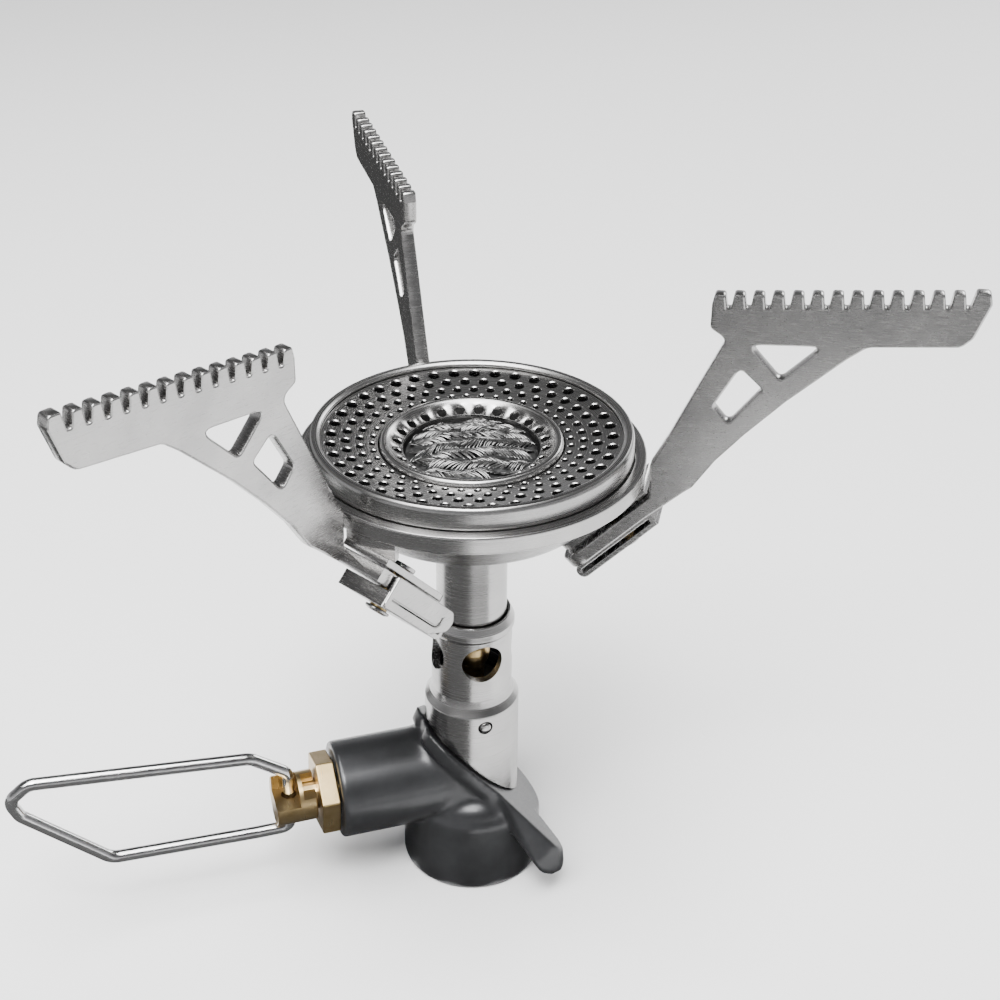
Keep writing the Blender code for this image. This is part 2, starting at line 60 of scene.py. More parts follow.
# ---- places read from the frame -------------------------------------------------------------------
cap_high = in_mm("burner_cap")[1]
cup_low, cup_high = in_mm("burner_cup")
RIM_Z = cap_high.z
RIM_R = cap_high.x
CUP_TOP_R = cup_high.x
BAND_R = 29.1
BAND_TOP_Z = in_mm("support_ring")[1].z
VALVE_Z = (in_mm("spindle_knob")[0].z + in_mm("spindle_knob")[1].z) / 2
KNOB_END_X = in_mm("spindle_knob")[0].x
NUT_END_X = in_mm("gland_nut")[0].x
HOUSING_END_X = in_mm("valve_body")[0].x
COLLAR_R = 12.78
WIRE_R = 1.1
HANDLE_X = in_mm("handle_wire")[1].x - WIRE_R   # middle of the wire, where it enters the knob
SLANT_Z = 22.0
HOUSING_R = 8.7
GAP = 0.3                           # clearance between neighbours

TILT = math.radians(46.5)           # slope of the hinge leaves
HINGE_P = 69.1
HINGE_T = 5.0
STRAP_Q = (-35.3, -34.1)
LEAF_Q = (-33.8, -31.4)
CLIP_Q = (-31.1, -28.5)
ARM_HALF = 1.2                      # half the thickness of a pot support
RIVET_HOLE_R = 1.8
AZIMUTHS = (90.0, 210.0, 330.0)
TEETH = 13
TOOTH_PITCH = 2.9
PLATE_HOLES = 40                    # in each ring
FLAME_PORTS = 24
GAUZE_R = 10.95
AIR_HOLE_Z = 46.5
AIR_HOLE_R = 3.65
PIN_Z = 33.7
NUT_FLATS = 13.0
NUT_SETBACK = 1.6                   # the nut's outer face, behind its solid in the frame
KNOB_R = 4.5

ALONG_X = Matrix.Translation((0, 0, VALVE_Z)) @ Matrix.Rotation(math.pi / 2, 4, "Y")
HINGE = Matrix((
    (math.cos(TILT), 0, math.sin(TILT)),
    (0, 1, 0),
    (math.sin(TILT), 0, -math.cos(TILT)),
)).to_4x4()                         # columns: up the slope (p), sideways (t), along the pivot (q)
UPRIGHT = Matrix.Rotation(math.radians(90), 4, "X")
random.seed(11)


# ---- materials ------------------------------------------------------------------------------------
class Nodes:
    """A Principled material and a short way to wire nodes to it."""

    def __init__(self, name, **sockets):
        self.material = bpy.data.materials.new(name)
        self.material.use_nodes = True
        self.tree = self.material.node_tree
        self.shader = self.tree.nodes["Principled BSDF"]
        for socket, value in sockets.items():
            self.shader.inputs[socket.replace("_", " ")].default_value = value

    def add(self, kind, **settings):
        node = self.tree.nodes.new(kind)
        for name, value in settings.items():
            setattr(node, name, value)
        return node

    def link(self, source, target):
        self.tree.links.new(source, target)

    def place(self, scale=(1, 1, 1), around_axis=False):
        """Object coordinates in millimetres; around_axis gives (radius, height, 0) for turned pieces."""
        where = self.add("ShaderNodeTexCoord").outputs["Object"]
        if around_axis:
            parts = self.add("ShaderNodeSeparateXYZ")
            self.link(where, parts.inputs[0])
            flat = self.add("ShaderNodeCombineXYZ")
            self.link(parts.outputs[0], flat.inputs[0])
            self.link(parts.outputs[1], flat.inputs[1])
            length = self.add("ShaderNodeVectorMath", operation="LENGTH")
            self.link(flat.outputs[0], length.inputs[0])
            joined = self.add("ShaderNodeCombineXYZ")
            self.link(length.outputs["Value"], joined.inputs[0])
            self.link(parts.outputs[2], joined.inputs[1])
            where = joined.outputs[0]
        mapping = self.add("ShaderNodeMapping")
        mapping.inputs["Scale"].default_value = [1000 * s for s in scale]
        self.link(where, mapping.inputs[0])
        return mapping.outputs[0]

    def noise(self, where, scale=1.0, detail=3.0, roughness=0.55):
        node = self.add("ShaderNodeTexNoise")
        node.inputs["Scale"].default_value = scale
        node.inputs["Detail"].default_value = detail
        node.inputs["Roughness"].default_value = roughness
        self.link(where, node.inputs["Vector"])
        return node.outputs["Fac"]

    def span(self, source, low, high, first=0.3, last=0.7):
        node = self.add("ShaderNodeMapRange")
        node.inputs["From Min"].default_value = first
        node.inputs["From Max"].default_value = last
        node.inputs["To Min"].default_value = low
        node.inputs["To Max"].default_value = high
        self.link(source, node.inputs["Value"])
        return node.outputs[0]

    def ramp(self, source, *stops):
        node = self.add("ShaderNodeValToRGB")
        ramp = node.color_ramp
        for i, (position, colour) in enumerate(stops):
            stop = ramp.elements[i] if i < 2 else ramp.elements.new(position)
            stop.position = position
            stop.color = (*colour, 1)
        self.link(source, node.inputs[0])
        return node.outputs[0]

    def colour(self, source):
        self.link(source, self.shader.inputs["Base Color"])

    def rough(self, source):
        self.link(source, self.shader.inputs["Roughness"])

    def bump(self, source, height, strength=1.0):
        node = self.add("ShaderNodeBump")
        node.inputs["Distance"].default_value = height * MM
        node.inputs["Strength"].default_value = strength
        self.link(source, node.inputs["Height"])
        previous = self.shader.inputs["Normal"]
        if previous.is_linked:
            self.link(previous.links[0].from_socket, node.inputs["Normal"])
        self.link(node.outputs[0], self.shader.inputs["Normal"])


def grey(value, warm=0.0):
    return (value * (1 + warm), value, value * (1 - warm))


def steel(name, grain, around_axis=False, dark=0.34, light=0.42, rough=(0.20, 0.30), depth=0.0005):
    """Brushed stainless steel. grain is how fine the brushing is along each axis, in lines per mm."""
    m = Nodes(name, Metallic=1.0)
    lines = m.noise(m.place(grain, around_axis), 1.0, 4.0, 0.65)
    patches = m.noise(m.place((0.12, 0.12, 0.12)), 1.0, 3.0)
    m.colour(m.ramp(patches, (0.3, grey(dark, 0.01)), (0.7, grey(light, 0.015))))
    m.rough(m.span(lines, *rough))
    m.bump(lines, depth, 0.6)
    return m.material


def cast_alloy():
    m = Nodes("dark_cast_alloy_look", Metallic=0.5, Coat_Weight=0.32, Coat_Roughness=0.22)
    fine = m.noise(m.place((3.2, 3.2, 3.2)), 1.0, 4.0, 0.6)
    clouds = m.noise(m.place((0.16, 0.16, 0.16)), 1.0, 3.0)
    m.colour(m.ramp(clouds, (0.3, (0.022, 0.0225, 0.024)), (0.7, (0.036, 0.0365, 0.039))))
    m.rough(m.span(fine, 0.30, 0.42))
    m.bump(fine, 0.008, 0.4)
    return m.material


def brass(name, around=False):
    m = Nodes(name, Metallic=1.0)
    tool_marks = m.noise(m.place((2.4, 0.2, 0.2) if not around else (0.6, 8.0, 0.6), around), 1.0, 3.0)
    patches = m.noise(m.place((0.35, 0.35, 0.35)), 1.0, 3.0)
    m.colour(m.ramp(patches, (0.3, (0.44, 0.32, 0.15)), (0.7, (0.54, 0.40, 0.21))))
    m.rough(m.span(tool_marks, 0.27, 0.31))
    return m.material


def polished_wire():
    m = Nodes("polished_wire_look", Metallic=1.0)
    drawn = m.noise(m.place((0.25, 6.0, 6.0)), 1.0, 3.0)
    m.colour(m.ramp(drawn, (0.3, grey(0.50)), (0.7, grey(0.66))))
    m.rough(m.span(drawn, 0.12, 0.24))
    m.bump(drawn, 0.002, 0.4)
    return m.material


def gauze():
    m = Nodes("steel_gauze_look", Metallic=1.0)
    scale = m.noise(m.place((0.5, 0.5, 0.5)), 1.0, 4.0, 0.7)
    m.colour(m.ramp(scale, (0.3, grey(0.06)), (0.72, grey(0.26, 0.01))))
    m.rough(m.span(scale, 0.22, 0.45))
    m.bump(scale, 0.02, 0.4)
    return m.material


def rubber():
    m = Nodes("black_rubber_look", Metallic=0.0)
    grain = m.noise(m.place((6, 6, 6)), 1.0, 3.0)
    m.colour(m.ramp(grain, (0.3, grey(0.012)), (0.7, grey(0.022))))
    m.rough(m.span(grain, 0.55, 0.75))
    m.bump(grain, 0.01, 0.4)
    return m.material


TURNED = steel("turned_steel", (5.0, 6.0, 1.0), around_axis=True, depth=0.0004)
SHEET = steel("sheet_steel", (0.5, 0.5, 5.0))
BURNER = steel("burner_steel", (5.0, 5.0, 1.0), around_axis=True, dark=0.31, light=0.38, rough=(0.22, 0.32),
               depth=0.0004)
# Near-black steel: painted shade for the inside of the burner and the undersides of its plates.
PAINTED_SHADE = steel("painted_shade_steel", (1.0, 1.0, 1.0), dark=0.015, light=0.035, rough=(0.5, 0.65))
CAST = cast_alloy()
BRASS_X = brass("brass_along_x")
BRASS_Z = brass("brass_turned", True)
WIRE = polished_wire()
GAUZE = gauze()
RUBBER = rubber()


# ---- making pieces --------------------------------------------------------------------------------
def shade(mesh, angle):
    """Smooth shading in which wide flat areas keep their own normal beside narrow rounded edges."""
    mesh.shade_smooth()
    mesh.set_sharp_from_angle(angle=math.radians(angle))
    bm = bmesh.new()
    bm.from_mesh(mesh)
    bm.faces.ensure_lookup_table()
    area = [0.0] * len(bm.faces)
    region = [-1] * len(bm.faces)
    for seed in bm.faces:
        if region[seed.index] >= 0:
            continue
        region[seed.index] = seed.index
        waiting = [seed]
        while waiting:
            face = waiting.pop()
            area[seed.index] += face.calc_area()
            for edge in face.edges:
                if len(edge.link_faces) == 2 and edge.calc_face_angle(1.0) < 0.01:
                    for other in edge.link_faces:
                        if region[other.index] < 0:
                            region[other.index] = seed.index
                            waiting.append(other)
    for edge in bm.edges:
        if len(edge.link_faces) == 2 and edge.calc_face_angle(0.0) > 0.07:
            one, two = (area[region[face.index]] for face in edge.link_faces)
            if max(one, two) > 8 * min(one, two):
                edge.smooth = False
    bm.to_mesh(mesh)
    bm.free()


def new_object(name, bm, look, turn=None, angle=35.0):
    if turn is not None:
        bm.transform(turn)
    bmesh.ops.recalc_face_normals(bm, faces=bm.faces)
    bmesh.ops.scale(bm, verts=bm.verts, vec=(MM, MM, MM))
    mesh = bpy.data.meshes.new(name)
    bm.to_mesh(mesh)
    bm.free()
    mesh.materials.append(look)
    made = bpy.data.objects.new(name, mesh)
    bpy.context.collection.objects.link(made)
    shade(mesh, angle)
    return made


def stands_for(made, body, slot, *nodes):
    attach(made, body)
    if nodes:
        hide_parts(*nodes)
    return made


def turned(profile, steps=96, start=0.0):
    """Body turned about Z. A profile that starts on the axis ends on it too; any other is a ring."""
    bm = bmesh.new()
    angles = [start + 2 * math.pi * i / steps for i in range(steps)]
    rings = []
    for radius, height in profile:
        if radius < 1e-6:
            rings.append([bm.verts.new((0, 0, height))])
        else:
            rings.append([bm.verts.new((radius * math.cos(a), radius * math.sin(a), height))
                          for a in angles])
    joined = rings + [rings[0]] if profile[0][0] > 0 else rings
    for low, high in zip(joined, joined[1:]):
        for i in range(steps):
            j = (i + 1) % steps
            corners = (low[i % len(low)], low[j % len(low)], high[j % len(high)], high[i % len(high)])
            face = list(dict.fromkeys(corners))
            if len(face) > 2:
                bm.faces.new(face)
    return bm


def rounded(points, radius, cuts=3, closed=True):
    """Outline with its corners rounded. radius is one number, or one for each point."""
    count = len(points)
    radii = radius if isinstance(radius, (list, tuple)) else [radius] * count
    path = []
    for i, point in enumerate(points):
        corner = Vector(point)
        ends = not closed and i in (0, count - 1)
        if ends or radii[i] <= 0:
            path.append(tuple(corner))
            continue
        back = Vector(points[i - 1]) - corner
        ahead = Vector(points[(i + 1) % count]) - corner
        if back.length < 1e-6 or ahead.length < 1e-6:
            path.append(tuple(corner))
            continue
        turn = back.angle(ahead)
        if turn > math.radians(177):
            path.append(tuple(corner))
            continue
        trim = min(radii[i] / math.tan(turn / 2), 0.46 * min(back.length, ahead.length))
        start = corner + back.normalized() * trim
        end = corner + ahead.normalized() * trim
        for k in range(cuts + 1):
            u = k / cuts
            path.append(tuple((1 - u) ** 2 * start + 2 * u * (1 - u) * corner + u ** 2 * end))
    return path


def lathe(profile, radius=0.25, steps=96, cuts=3):
    on_axis = profile[0][0] < 1e-6
    return turned(rounded(profile, radius, cuts, closed=not on_axis), steps)


def arc(centre, radius, first, last, steps):
    points = []
    for i in range(steps + 1):
        angle = math.radians(first + (last - first) * i / steps)
        points.append((centre[0] + radius * math.cos(angle), centre[1] + radius * math.sin(angle)))
    return points


def prism(outline, low, high):
    bm = bmesh.new()
    floor = [bm.verts.new((x, y, low)) for x, y in outline]
    roof = [bm.verts.new((x, y, high)) for x, y in outline]
    bm.faces.new(list(reversed(floor)))
    bm.faces.new(roof)
    for i in range(len(outline)):
        j = (i + 1) % len(outline)
        bm.faces.new((floor[i], floor[j], roof[j], roof[i]))
    return bm


def plate(outlines, low, high, edge=0.25, cuts=2):
    """Flat plate in the XY plane, its edges rounded over. The first outline is its rim, the others
    are openings."""
    curve = bpy.data.curves.new("plate", "CURVE")
    curve.dimensions = "2D"
    curve.fill_mode = "BOTH"
    curve.extrude = (high - low) / 2 - edge
    curve.bevel_depth = edge
    curve.bevel_resolution = cuts - 1
    curve.offset = -edge
    for outline in outlines:
        spline = curve.splines.new("POLY")
        spline.points.add(len(outline) - 1)
        for point, (x, y) in zip(spline.points, outline):
            point.co = (x, y, 0, 1)
        spline.use_cyclic_u = True
    shape = bpy.data.objects.new("plate", curve)
    bpy.context.collection.objects.link(shape)
    bpy.context.view_layer.update()
    graph = bpy.context.evaluated_depsgraph_get()
    mesh = bpy.data.meshes.new_from_object(shape.evaluated_get(graph))
    bm = bmesh.new()
    bm.from_mesh(mesh)
    bpy.data.objects.remove(shape, do_unlink=True)
    bpy.data.curves.remove(curve)
    bpy.data.meshes.remove(mesh)
    bmesh.ops.remove_doubles(bm, verts=bm.verts, dist=1e-4)
    bmesh.ops.dissolve_degenerate(bm, edges=bm.edges, dist=1e-4)
    bmesh.ops.translate(bm, verts=bm.verts, vec=(0, 0, (low + high) / 2))
    return bm


def rod(start, end, radius, steps=32):
    start = Vector(start)
    reach = Vector(end) - start
    bm = turned([(0, 0), (radius, 0), (radius, reach.length), (0, reach.length)], steps)
    bm.transform(Matrix.Translation(start) @ reach.to_track_quat("Z", "Y").to_matrix().to_4x4())
    return bm


def combine(body, bm, operation):
    tool = new_object("tool", bm, body.data.materials[0])
    change = body.modifiers.new("change", "BOOLEAN")
    change.operation = operation
    change.solver = "EXACT"
    change.object = tool
    bpy.context.view_layer.update()
    graph = bpy.context.evaluated_depsgraph_get()
    fresh = bpy.data.meshes.new_from_object(body.evaluated_get(graph))
    body.modifiers.clear()
    old = body.data
    body.data = fresh
    bpy.data.objects.remove(tool, do_unlink=True)
    bpy.data.meshes.remove(old)
    tidy = bmesh.new()
    tidy.from_mesh(fresh)
    bmesh.ops.remove_doubles(tidy, verts=tidy.verts, dist=0.002 * MM)
    bmesh.ops.dissolve_degenerate(tidy, edges=tidy.edges, dist=0.002 * MM)
    tidy.to_mesh(fresh)
    tidy.free()
    shade(fresh, 35.0)
    return body


def cut(body, bm):
    return combine(body, bm, "DIFFERENCE")


def join(body, bm):
    return combine(body, bm, "UNION")


def swept(path, radius, sides=20):
    """Round bar along a path of points, with domed ends."""
    bm = bmesh.new()
    path = [Vector(p) for p in path]
    rings = []
    first = (path[1] - path[0]).normalized()
    side = first.orthogonal().normalized()
    frames = []
    for i, point in enumerate(path):
        ahead = (path[min(i + 1, len(path) - 1)] - path[max(i - 1, 0)]).normalized()
        side = (side - ahead * side.dot(ahead)).normalized()
        frames.append((point, ahead, side))
    dome = ((0.62, 0.45), (0.4, 0.8))
    point, ahead, side = frames[0]
    stations = [(point - ahead * radius * s, ahead, side, radius * c) for s, c in dome]
    stations += [(p, a, s, radius) for p, a, s in frames]
    point, ahead, side = frames[-1]
    stations += [(point + ahead * radius * s, ahead, side, radius * c) for s, c in reversed(dome)]
    for point, ahead, side, size in stations:
        other = ahead.cross(side)
        rings.append([bm.verts.new(point + size * (math.cos(a) * side + math.sin(a) * other))
                      for a in (2 * math.pi * k / sides for k in range(sides))])
    bm.faces.new(rings[0])
    bm.faces.new(rings[-1])
    for low, high in zip(rings, rings[1:]):
        for k in range(sides):
            m = (k + 1) % sides
            bm.faces.new((low[k], low[m], high[m], high[k]))
    return bm


def merge(into, other):
    """Add one bmesh's faces to another."""
    mesh = bpy.data.meshes.new("merge")
    other.to_mesh(mesh)
    other.free()
    into.from_mesh(mesh)
    bpy.data.meshes.remove(mesh)
    return into


# ---- burner ---------------------------------------------------------------------------------------
def perforated(edges, holes, count, top, thick, wrap=6):
    """Sheet of revolution. edges are the radii between its bands; holes gives each band's hole radius
    (0 for none) and its stagger in half pitches."""
    bm = bmesh.new()
    total = count * wrap
    up = wrap // 2

    def vertex(radius, angle, drop):
        return bm.verts.new((radius * math.cos(angle), radius * math.sin(angle), top(radius) - drop))

    sub = 2 * math.pi / total
    loops = {}
    for under in (False, True):
        drop = thick if under else 0.0
        loops[under] = [[vertex(r, k * sub, drop) for k in range(total)] for r in edges]
    for band, (size, stagger) in enumerate(holes):
        r0, r1 = edges[band], edges[band + 1]
        if size <= 0:
            for under in (False, True):
                low, high = loops[under][band], loops[under][band + 1]
                for k in range(total):
                    m = (k + 1) % total
                    bm.faces.new((low[k], low[m], high[m], high[k]))
            continue
        shift = stagger * wrap // 2
        middle = (r0 + r1) / 2
        sides = {}
        for under in (False, True):
            drop = thick if under else 0.0
            sides[under] = [[vertex(r0 + (r1 - r0) * v / up, (i * wrap + shift) * sub, drop)
                             for v in range(1, up)] for i in range(count)]
        for i in range(count):
            first = i * wrap + shift
            centre = (first + wrap / 2) * sub
            rims = {}
            for under in (False, True):
                low, high = loops[under][band], loops[under][band + 1]
                right = sides[under][(i + 1) % count]
                left = sides[under][i]
                border = [low[(first + k) % total] for k in range(wrap + 1)]
                border += right
                border += [high[(first + k) % total] for k in range(wrap, -1, -1)]
                border += list(reversed(left))
                rims[under] = border
            number = len(rims[False])

            def hole_loop(radius, drop):
                made = []
                for k in range(number):
                    angle = math.radians(-90 - 360 * (wrap / 2) / number) + 2 * math.pi * k / number
                    across, out = radius * math.cos(angle), radius * math.sin(angle)
                    made.append(vertex(middle + out, centre + across / middle, drop))
                return made

            chamfer = 0.14
            loops_down = [rims[False], hole_loop(size + chamfer, 0.0), hole_loop(size, chamfer),
                          hole_loop(size, thick), rims[True]]
            for upper, lower in zip(loops_down, loops_down[1:]):
                for k in range(number):
                    m = (k + 1) % number
                    bm.faces.new((upper[k], upper[m], lower[m], lower[k]))
    for row in (0, -1):
        low, high = loops[True][row], loops[False][row]
        for k in range(total):
            m = (k + 1) % total
            bm.faces.new((low[k], low[m], high[m], high[k]))
    return bm


def smooth_line(pairs):
    """Height as a function of radius through the given (radius, height) points."""
    radii = [p[0] for p in pairs]
    heights = [p[1] for p in pairs]
    return lambda radius: float(np.interp(radius, radii, heights))


def paint_shade(made, inside):
    """Give the faces for which inside(centre, normal) holds a near-black steel look: painted shade inside the
    burner and under its plates, so that the holes look dark.
    """
    made.data.materials.append(PAINTED_SHADE)
    for face in made.data.polygons:
        if inside(face.center / MM, face.normal):
            face.material_index = 1


def burner():
    wall = 0.6
    floor_z = cup_low.z
    cup = [(6.5, floor_z), (20.6, floor_z), (CUP_TOP_R, 82.6), (CUP_TOP_R, 84.8), (CUP_TOP_R - wall, 84.8),
           (CUP_TOP_R - wall, 83.0), (20.2, floor_z + 0.7), (6.5, floor_z + 0.7)]
    made = new_object("burner_cup_look", lathe(cup, [0.2, 1.2, 1.2, 0.2, 0.2, 1.0, 1.0, 0.2], 128), BURNER)

    # The inside of the cup gets painted shade.
    def inside(centre, normal):
        faces_in = normal.z > 0.6 or normal.x * centre.x + normal.y * centre.y < 0
        return centre.z > floor_z + 0.5 and faces_in and centre.xy.length < CUP_TOP_R - 0.3

    paint_shade(made, inside)
    stands_for(made, "stove_body", "satin_steel", "burner_cup")
    top = RIM_Z
    cap = [(25.7, 83.6), (26.4, 83.6), (26.4, 84.95), (RIM_R, 85.1), (RIM_R, top - 0.8), (RIM_R - 0.3, top),
           (25.7, top), (25.15, top - 0.4), (25.2, top - 0.85), (25.7, top - 1.2)]
    sizes = [0.15, 0.15, 0.3, 0.2, 0.5, 0.6, 0.5, 0.3, 0.2, 0.3]
    made = new_object("burner_cap_look", lathe(cap, sizes, 128), BURNER)
    stands_for(made, "stove_body", "satin_steel", "burner_cap")

    def dish(radius):
        return 87.1 + (radius - 15.8) * 0.17

    edges = (15.65, 17.55, 19.75, 22.15, 24.75, 25.2)
    holes = ((0.55, 0), (0.72, 1), (0.88, 0), (0.98, 1), (0, 0))
    bm = perforated(edges, holes, PLATE_HOLES, dish, 0.55)
    made = new_object("burner_plate_look", bm, BURNER, angle=40)
    # The plate's underside gets painted shade.
    paint_shade(made, lambda centre, normal: normal.z < -0.5)
    stands_for(made, "stove_body", "satin_steel", "burner_plate")

    crest = smooth_line([(11.4, 86.15), (12.0, 86.35), (12.7, 86.75), (13.4, 87.2), (13.75, 87.55),
                         (14.05, 87.82), (14.4, 87.96), (14.75, 87.97), (15.05, 87.85), (15.25, 87.6),
                         (15.4, 87.2)])
    edges = (11.45, 13.7, 13.9, 14.1, 14.3, 14.5, 14.7, 14.9, 15.05, 15.2, 15.3, 15.4)
    holes = ((0.82, 0),) + ((0, 0),) * 10
    bm = perforated(edges, holes, FLAME_PORTS, crest, 0.5, 8)
    made = new_object("flame_ring_look", bm, BURNER, angle=50)
    # The flame ring's underside gets painted shade.
    paint_shade(made, lambda centre, normal: normal.z < -0.3)
    stands_for(made, "stove_body", "satin_steel", "flame_ring")


def dome_z(x, y):
    """Height of the crumpled dome that the braid lies on."""
    r = math.hypot(x, y)
    return 86.9 - 0.0125 * r * r + 0.28 * math.sin(0.9 * x + 0.5 * y) * math.cos(0.7 * y - 0.3)


def knitted_dome():
    """Crumpled braid of thin steel wire held in the middle of the burner."""
    base = turned([(0, 84.9), (11.05, 84.9), (11.05, 85.2), (9.5, 85.7), (6.5, 86.1), (3.2, 86.4),
                   (0, 86.5)], 48)
    # The dome under the braid is near-black steel: painted shade in the gaps between the strands.
    look = Nodes("gauze_base_painted_shade", Metallic=1.0)
    depth = look.noise(look.place((0.8, 0.8, 0.8)), 1.0, 4.0)
    look.colour(look.ramp(depth, (0.3, grey(0.02)), (0.7, grey(0.09))))
    look.rough(look.span(depth, 0.4, 0.6))
    look.bump(depth, 0.08, 0.6)
    ground = new_object("mesh_dome_base", base, look.material)
    stands_for(ground, "stove_body", "steel_gauze", "mesh_dome")
    strands = bmesh.new()
    for centre_line, pitch in braid_lines():
        for i in range(len(centre_line) - 1):
            here, ahead = centre_line[i], centre_line[i + 1]
            forward = (ahead - here).normalized()
            aside = Vector((-forward.y, forward.x))
            for side in (-1, 1):
                lean = 2.3 + random.uniform(-0.4, 0.5)
                reach = pitch * (0.56 + random.uniform(-0.06, 0.1))
                lift = random.uniform(-0.1, 0.14)
                line = []
                for k in range(7):
                    u = k / 6
                    flat = here - forward * lean * (u - 0.3) * (1.15 - 0.25 * u)
                    flat += aside * side * reach * (u - 0.1)
                    bulge = 0.85 * (1 - (abs(u - 0.1) / 0.95) ** 2)
                    line.append(Vector((flat.x, flat.y, dome_z(flat.x, flat.y) + lift + bulge - 0.62)))
                if max(p.xy.length for p in line) < GAUZE_R:
                    merge_strand(strands, line, 0.17 + random.uniform(-0.03, 0.04))
    made = new_object("mesh_dome_braid", strands, GAUZE, angle=60)
    stands_for(made, "stove_body", "steel_gauze", "mesh_dome")


def braid_lines():
    """Centre lines of the braids: arcs along the far rim, bolder ones across the middle and the front."""
    braids = ((9.3, -0.6, -0.20, 1.9), (7.4, 0.9, -0.20, 2.1), (5.3, 1.3, -0.20, 2.3), (2.9, 1.2, -0.17, 2.6),
              (0.1, 0.9, -0.10, 3.1), (-2.9, 0.3, -0.16, 2.9), (-5.6, -0.8, -0.28, 2.7),
              (-8.0, -1.6, -0.34, 2.4))
    half = 11
    for row, (offset, bow, tilt, pitch) in enumerate(braids):
        steps = int(2 * half / 0.52)
        line = []
        for i in range(steps + 1):
            along = (-half + 2 * half * i / steps) * (-1 if row % 2 else 1)
            y = offset + bow * (1 - (along / half) ** 2) - bow * 0.5 + 0.25 * math.sin(0.8 * along + row)
            line.append(Vector((along * math.cos(tilt) - y * math.sin(tilt),
                                along * math.sin(tilt) + y * math.cos(tilt))))
        yield line, pitch


def merge_strand(bm, line, radius, sides=6):
    """Add one wire of the braid, a little thinner at its ends."""
    rings = []
    side = Vector((0, 0, 1))
    for i, point in enumerate(line):
        ahead = (line[min(i + 1, len(line) - 1)] - line[max(i - 1, 0)]).normalized()
        across = ahead.cross(side).normalized()
        other = across.cross(ahead)
        size = radius * (0.6 if i in (0, len(line) - 1) else 1.0)
        rings.append([bm.verts.new(point + size * (math.cos(a) * across + math.sin(a) * other))
                      for a in (2 * math.pi * k / sides for k in range(sides))])
    bm.faces.new(rings[0])
    bm.faces.new(rings[-1])
    for low, high in zip(rings, rings[1:]):
        for k in range(sides):
            m = (k + 1) % sides
            bm.faces.new((low[k], low[m], high[m], high[k]))


# ---- support ring and the three arms --------------------------------------------------------------
def arm_turn(azimuth):
    return Matrix.Rotation(math.radians(azimuth), 4, "Z")


def slab_outline(low_p, high_p, low_t, high_t, round_r, steps=10):
    """Outline of a hinge leaf in p and t, square at its upper end and round at its lower end."""
    corner = min(round_r, (high_t - low_t) / 2)
    points = [(high_p, low_t), (high_p, high_t)]
    points += arc((low_p + corner, high_t - corner), corner, 90, 180, steps)
    points += arc((low_p + corner, low_t + corner), corner, 180, 270, steps)[1:]
    return points


def support_ring():
    band = [(27.6, 83.05), (BAND_R, 83.05), (BAND_R, BAND_TOP_Z), (27.28, BAND_TOP_Z), (27.28, 85.1),
            (27.6, 84.9)]
    made = new_object("support_band_look", lathe(band, [0.3, 0.3, 0.35, 0.15, 0.1, 0.1], 144), TURNED)
    stands_for(made, "stove_body", "satin_steel", "support_ring")
    for number, azimuth in enumerate(AZIMUTHS, 1):
        turn = arm_turn(azimuth)
        outline = slab_outline(HINGE_P - 10.4, HINGE_P + 9.8, 0.2, 9.8, 4.8)
        hole = list(reversed(arc((HINGE_P, HINGE_T), RIVET_HOLE_R, 0, 345, 23)))
        strap = plate([outline, hole], *STRAP_Q, edge=0.2)
        strap.transform(HINGE)
        outside, inside = BAND_R - 0.1, 27.75
        angles = [math.asin(0.4 / outside) + (math.asin(9.6 / outside) - math.asin(0.4 / outside)) * i / 10
                  for i in range(11)]
        skirt = prism([(outside * math.cos(a), outside * math.sin(a)) for a in angles]
                      + [(inside * math.cos(a), inside * math.sin(a)) for a in reversed(angles)], 80.3, 84.0)
        bm = merge(strap, skirt)
        made = new_object(f"hinge_strap_{number}", bm, SHEET, turn)
        stands_for(made, "stove_body", "satin_steel", "support_ring")


def tooth_line(radius):
    """Height of the tooth tips, which rise a little outwards."""
    return 117.67 + 0.0971 * (radius - 38.76)


def arm_outline():
    """Side view of a pot support as (radius, height) points and their corner radii."""
    points = [(37.9, 112.0, 1.0), (37.9, tooth_line(37.9) - 1.7, 0.5)]
    for i in range(TEETH):
        tip = 39.06 + i * TOOTH_PITCH
        high = tooth_line(tip)
        points.append((tip - 0.80, high, 0.55))
        points.append((tip + 0.80, high, 0.55))
        points.append((tip + 1.15, high - 2.3, 0.3))
        points.append((tip + 1.75, high - 2.3, 0.3))
    points += [(76.2, tooth_line(78.6), 0.5), (78.2, tooth_line(78.6), 0.7), (78.6, 119.8, 1.2),
               (76.7, 114.2, 1.5), (75.2, 112.6, 2.0), (61.7, 111.2, 2.5), (59.0, 109.0, 2.0),
               (50.4, 100.7, 0), (44.6, 94.3, 0), (40.3, 89.0, 3.0), (36.9, 83.6, 1.5), (35.6, 82.5, 0.8)]
    for p, q in ((HINGE_P + 6.5, LEAF_Q[1]), (HINGE_P + 6.5, LEAF_Q[0]), (HINGE_P + 10.2, LEAF_Q[0])):
        spot = HINGE @ Vector((p, 0, q))
        points.append((spot.x, spot.z, 0.1))
    points += [(29.9, 86.9, 1.5), (32.6, 92.4, 4.0), (36.7, 101.7, 0), (40.6, 110.4, 2.0)]
    return rounded([(r, z) for r, z, _ in points], [size for *_, size in points], 4)


